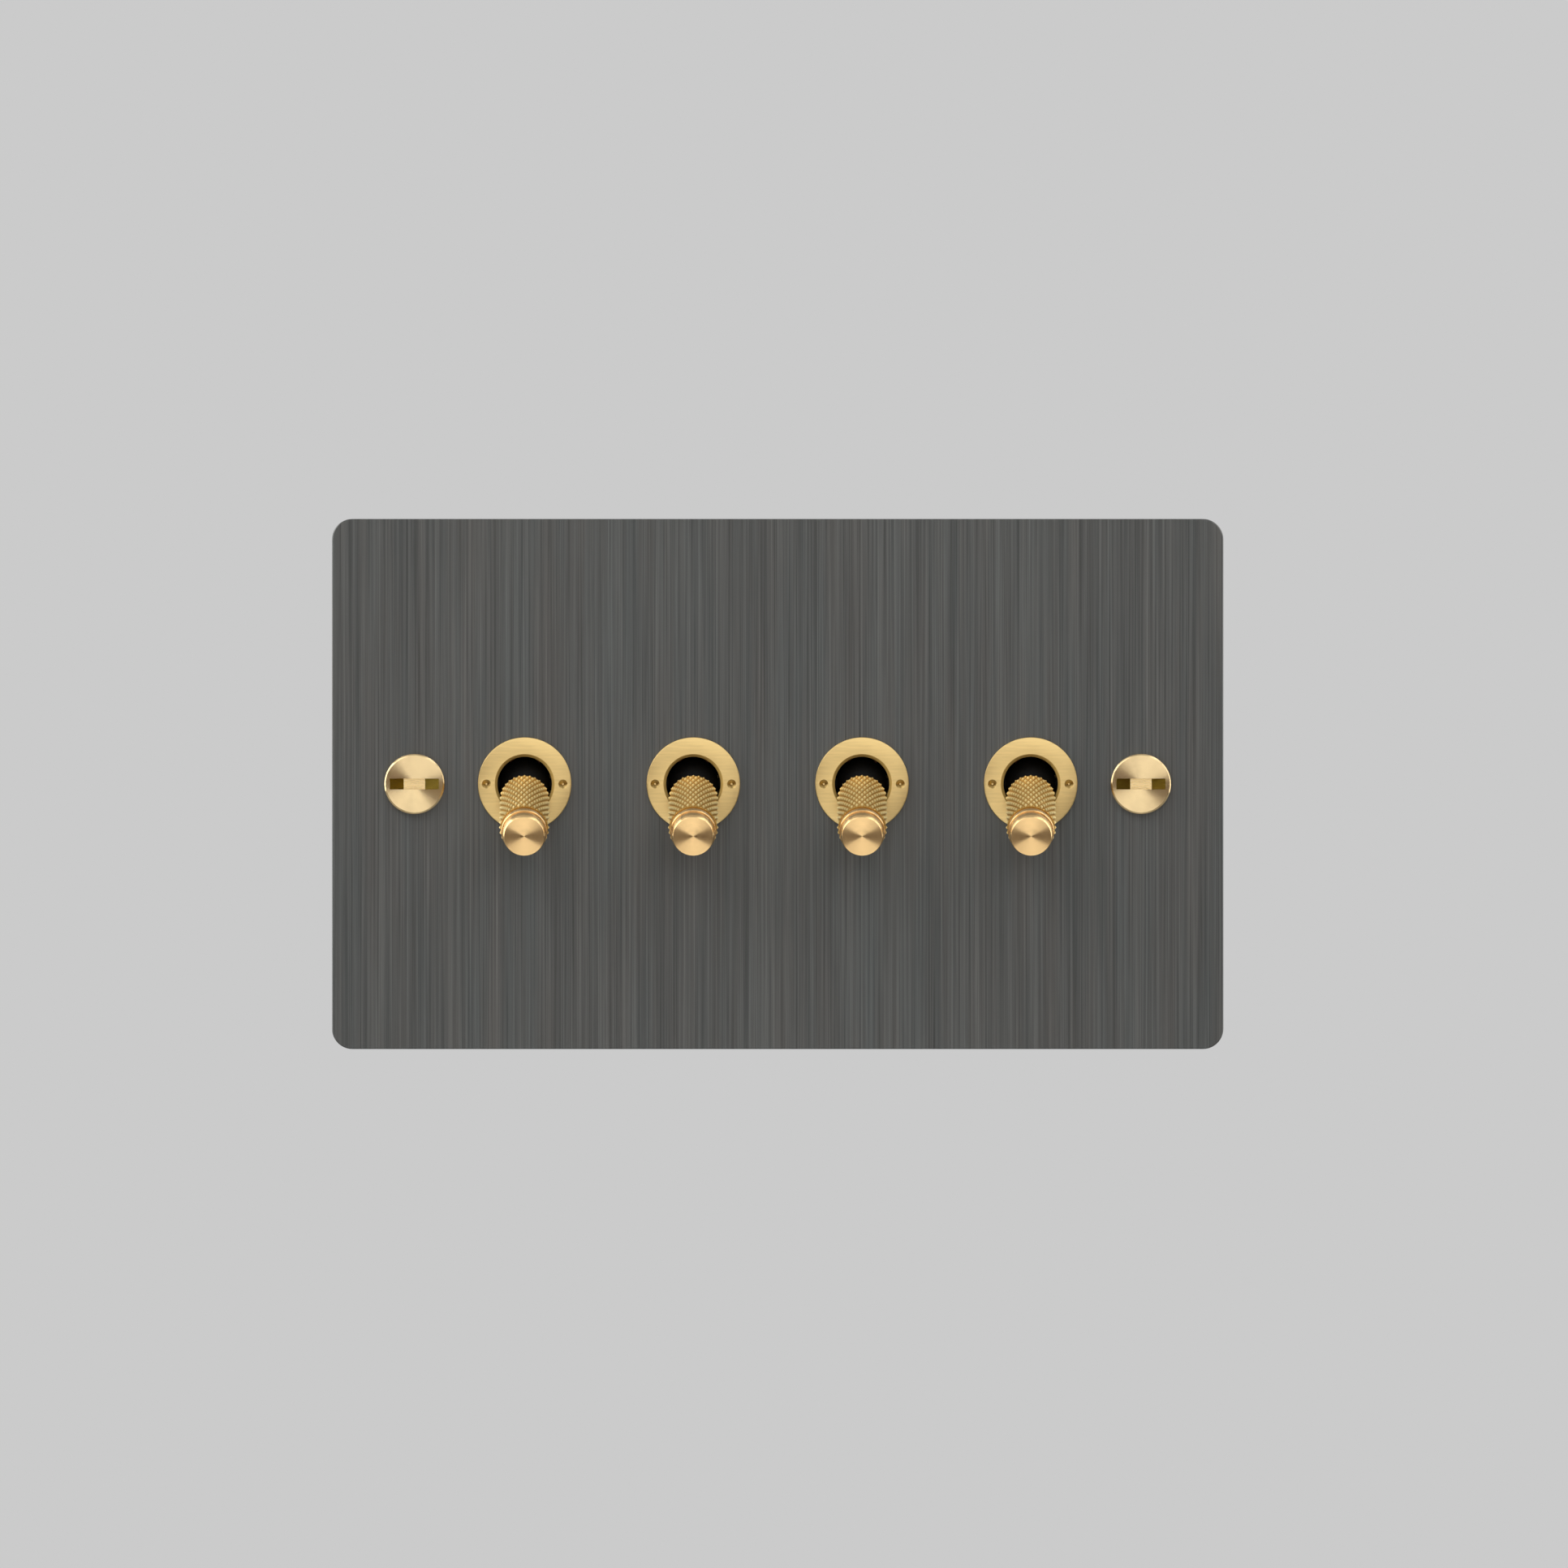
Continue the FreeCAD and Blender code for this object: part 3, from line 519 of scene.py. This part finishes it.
for label, side in (("left", -SCREW_SIDE), ("right", SCREW_SIDE)):
    build = bmesh.new()
    turn_profile(build, [
        (0, 0.0), (4.70, 0.0), (4.78, -0.03), (4.97, -0.22), (HEAD_RADIUS, -0.3),
        (HEAD_RADIUS, -HEAD_BACK), (NECK_RADIUS, -HEAD_BACK), (NECK_RADIUS, -THREAD_START),
        (0, -THREAD_START),
    ], closed=False)
    head = mesh_object(f"box_screw_head_{label}", build)
    build = bmesh.new()
    floor_line = [(-SLOT_HALF_LENGTH, 0.0), (-SLOT_HALF_FLAT, -SLOT_DEPTH),
                  (SLOT_HALF_FLAT, -SLOT_DEPTH), (SLOT_HALF_LENGTH, 0.0),
                  (SLOT_HALF_LENGTH, SLOT_CLEAR), (-SLOT_HALF_LENGTH, SLOT_CLEAR)]
    sides = [[build.verts.new((x * MM, y * MM, z * MM)) for x, z in floor_line]
             for y in (-SLOT_HALF_WIDTH, SLOT_HALF_WIDTH)]
    build.faces.new(sides[0])
    build.faces.new(sides[1])
    for k in range(len(floor_line)):
        following = (k + 1) % len(floor_line)
        build.faces.new((sides[0][k], sides[0][following], sides[1][following], sides[1][k]))
    bmesh.ops.recalc_face_normals(build, faces=build.faces[:])
    cutter = mesh_object("slot_tool", build)
    drilled(head, [cutter], 12)
    for brass in (spun_brass, slot_brass, slot_ramp_painted_shade):
        head.data.materials.append(brass)
    for face in head.data.polygons:
        across, up, height = face.center / MM
        if (abs(up) < SLOT_HALF_WIDTH + 0.001 and abs(across) < SLOT_HALF_LENGTH + 0.005
                and -SLOT_DEPTH - 0.1 < height < -0.01):
            # Flat floor faces take the slot brass; slanted ramp faces take the dark copy, which
            # is painted shade.
            face.material_index = 1 if abs(face.normal.z) > 0.98 else 2
    build = bmesh.new()
    threaded_shank(build)
    shank = mesh_object(f"box_screw_thread_{label}", build, 80)
    shank.data.materials.append(spun_brass)
    for piece in (head, shank):
        piece.location = (side, HEAD_FRONT, 0)
        piece.rotation_euler = FACING_OUT
        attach(piece, "root")
        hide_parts(f"fixing_screw_{label}")


# ---- The levers ----------------------------------------------------------------------------
# Each lever is a nylon core on a pin, a brass grip with a long diamond knurl pushed over its
# stem, and a turned cap screwed into the grip. All four are stored tipped down.

LEVER_TILT = math.radians(17)
LEVER_TURN = (math.pi / 2 + LEVER_TILT, 0, 0)
GRIP_START = 8.04
GRIP_END = 25.65
GRIP_BORE = 2.53
KNURL_CREST = 4.18
KNURL_DEPTH = 0.32
KNURL_COUNT = 28
KNURL_PITCH = 2.74
KNURL_STEPS = 4
GRIP_EDGE = 0.3


def knurl_height(across, along):
    """Height of the diamonds, 0 in the grooves and 1 at a point."""
    first = abs(((across + along) % 1.0) - 0.5) * 2
    second = abs(((across - along) % 1.0) - 0.5) * 2
    return min(min(first, second), 0.9) / 0.9


def knurled_grip(build):
    """The grip's sleeve: diamonds outside, a plain bore inside, both ends chamfered."""
    columns = KNURL_COUNT * 2 * KNURL_STEPS
    rows = round((GRIP_END - GRIP_START) / (KNURL_PITCH / 2 / KNURL_STEPS))
    grid = []
    for row in range(rows + 1):
        along = GRIP_START + (GRIP_END - GRIP_START) * row / rows
        edge = min(along - GRIP_START, GRIP_END - along)
        ring = []
        for column in range(columns):
            height = knurl_height(column / (2 * KNURL_STEPS), row / (2 * KNURL_STEPS))
            radius = KNURL_CREST - KNURL_DEPTH * (1 - height)
            radius = min(radius, KNURL_CREST - GRIP_EDGE + max(0.0, edge) * 0.9)
            angle = 2 * math.pi * column / columns
            ring.append(build.verts.new((radius * MM * math.cos(angle),
                                         radius * MM * math.sin(angle), along * MM)))
        grid.append(ring)
    for row in range(rows):
        for column in range(columns):
            following = (column + 1) % columns
            corners = (grid[row][column], grid[row][following],
                       grid[row + 1][following], grid[row + 1][column])
            cell = (row // KNURL_STEPS + column // KNURL_STEPS) % 2
            if cell:
                build.faces.new((corners[0], corners[1], corners[2]))
                build.faces.new((corners[0], corners[2], corners[3]))
            else:
                build.faces.new((corners[0], corners[1], corners[3]))
                build.faces.new((corners[1], corners[2], corners[3]))
    bores = []
    for along in (GRIP_START, GRIP_END - 0.2, GRIP_END):
        bores.append([build.verts.new((GRIP_BORE * MM * math.cos(2 * math.pi * k / columns),
                                       GRIP_BORE * MM * math.sin(2 * math.pi * k / columns),
                                       along * MM)) for k in range(columns)])
    for lower, upper in ((bores[0], grid[0]), (grid[-1], bores[2]), (bores[2], bores[1]),
                         (bores[1], bores[0])):
        for k in range(columns):
            following = (k + 1) % columns
            build.faces.new((lower[k], lower[following], upper[following], upper[k]))
    bmesh.ops.recalc_face_normals(build, faces=build.faces[:])


def knurled_finish():
    """Brass darker in the grooves and bright on the points: tarnish and painted shade in the
    grooves, a painted highlight on the points.
    """
    material, tree, shader = finish_tree("knurl_brass", (0.9, 0.66, 0.28), 0.78, 0.4)
    place = tree.nodes.new("ShaderNodeTexCoord")
    flat = tree.nodes.new("ShaderNodeVectorMath")
    flat.operation = "MULTIPLY"
    flat.inputs[1].default_value = (1, 1, 0)
    off_axis = tree.nodes.new("ShaderNodeVectorMath")
    off_axis.operation = "LENGTH"
    # Mask by distance from the axis: groove colour at the bottom, and a colour brighter than
    # brass at the points, which is a painted highlight.
    tarnish_and_painted_light = tree.nodes.new("ShaderNodeMapRange")
    tarnish_and_painted_light.inputs["From Min"].default_value = (KNURL_CREST - 0.8 * KNURL_DEPTH) * MM
    tarnish_and_painted_light.inputs["From Max"].default_value = (KNURL_CREST - 0.05) * MM
    tree.links.new(place.outputs["Object"], flat.inputs[0])
    tree.links.new(flat.outputs[0], off_axis.inputs[0])
    tree.links.new(off_axis.outputs["Value"], tarnish_and_painted_light.inputs["Value"])
    colour = tint(tree, tarnish_and_painted_light.outputs["Result"], (0.47, 0.25, 0.04), (1.0, 0.84, 0.42))
    patches = stretched_noise(tree, (1, 1, 1), 260, 2.0, 0.5)
    tree.links.new(tint(tree, spread(tree, patches, 0, 0.14), colour, (0.82, 0.54, 0.18)),
                   shader.inputs["Base Color"])
    tree.links.new(spread(tree, patches, 0.38, 0.46), shader.inputs["Roughness"])
    return material


knurl_brass = knurled_finish()
cap_brass = brass_finish("cap_brass", (0.77, 0.52, 0.24), 0.25, "turned", 1.0, 0.01)
CAP_SPIGOT = [(0, 22.4), (1.9, 22.4), (2.0, 22.6), (2.0, 25.66), (3.5, 25.66), (3.5, 26.1)]
CAP_RING = [(3.76, 26.1), (3.8, 26.16), (3.8, 27.2), (3.74, 27.3)]
CAP_GROOVE = [(3.42, 27.3), (3.42, 27.6)]
CAP_END = [(3.5, 27.6), (3.55, 27.68), (3.55, 28.95), (3.53, 29.05), (3.36, 29.65),
           (3.31, 29.7), (0, 29.7)]
for number in TOGGLES:
    build = bmesh.new()
    knurled_grip(build)
    grip = mesh_object(f"knurled_grip_{number}", build, 14)
    grip.data.materials.append(knurl_brass)
    build = bmesh.new()
    turn_profile(build, CAP_SPIGOT + CAP_RING + CAP_GROOVE + CAP_END, closed=False)
    cap = mesh_object(f"turned_cap_{number}", build)
    cap.data.materials.append(cap_brass)
    for piece, node in ((grip, f"grip_{number}"), (cap, f"grip_cap_{number}")):
        piece.location = PIVOTS[number]
        piece.rotation_euler = LEVER_TURN
        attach(piece, f"lever_{number}")
        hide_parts(node)


def moulded_finish(name, colour, roughness, grain_scale):
    """Moulded plastic with a fine spark-eroded grain."""
    material, tree, shader = finish_tree(name, colour, 0.0, roughness)
    grain = stretched_noise(tree, (1, 1, 1), grain_scale, 3.0, 0.6)
    flow = stretched_noise(tree, (1, 0.4, 1), 120, 2.0, 0.5, 0.6)
    light = tuple(min(1.0, c * 1.35) for c in colour)
    tree.links.new(tint(tree, spread(tree, flow, 0, 1), colour, light),
                   shader.inputs["Base Color"])
    tree.links.new(spread(tree, grain, roughness - 0.08, roughness + 0.08),
                   shader.inputs["Roughness"])
    rough_up(tree, shader, grain, 0.25, 0.03 * MM)
    return material


black_nylon = moulded_finish("black_nylon", (0.004, 0.004, 0.004), 0.7, 2600)
nylon_shader = black_nylon.node_tree.nodes["Principled BSDF"]
nylon_shader.inputs["Specular IOR Level"].default_value = 0.15
clothe([f"dolly_{number}" for number in TOGGLES], black_nylon)


# ---- Behind the plate: liner, modules and terminals ------------------------------------------
# Black moulded liner and module cases, machined brass terminals with zinc plated screws,
# copper rockers, steel plungers and springs, blackened pins, and red fibre washers.

case_black = moulded_finish("case_black", (0.022, 0.022, 0.024), 0.5, 2200)
clothe(["rear_liner"], case_black)
clothe([f"module_cover_{number}" for number in TOGGLES], case_black)
clothe([f"module_housing_{number}" for number in TOGGLES], case_black)
terminal_brass = brass_finish("terminal_brass", (0.72, 0.52, 0.24), 0.35, "brushed")
for number in TOGGLES:
    clothe([f"{kind}_terminal_{number}" for kind in ("upper", "lower", "common")],
           terminal_brass)
clothe(["earth_terminal"], terminal_brass)
copper = brass_finish("rolled_copper", (0.78, 0.38, 0.24), 0.3, "brushed")
clothe([f"rocker_{number}" for number in TOGGLES], copper)
zinc_steel = brass_finish("zinc_plate", (0.58, 0.58, 0.60), 0.36, "brushed")
clothe([f"plunger_{number}" for number in TOGGLES], zinc_steel)
clothe([f"spring_{number}" for number in TOGGLES], zinc_steel)
clothe(["terminal_screws", "housing_screws", "earth_screw"], zinc_steel)
clothe(["pivot_pins"], black_nylon)
red_fibre = moulded_finish("red_fibre", (0.35, 0.08, 0.05), 0.7, 1800)
clothe(["screw_retainers"], red_fibre)
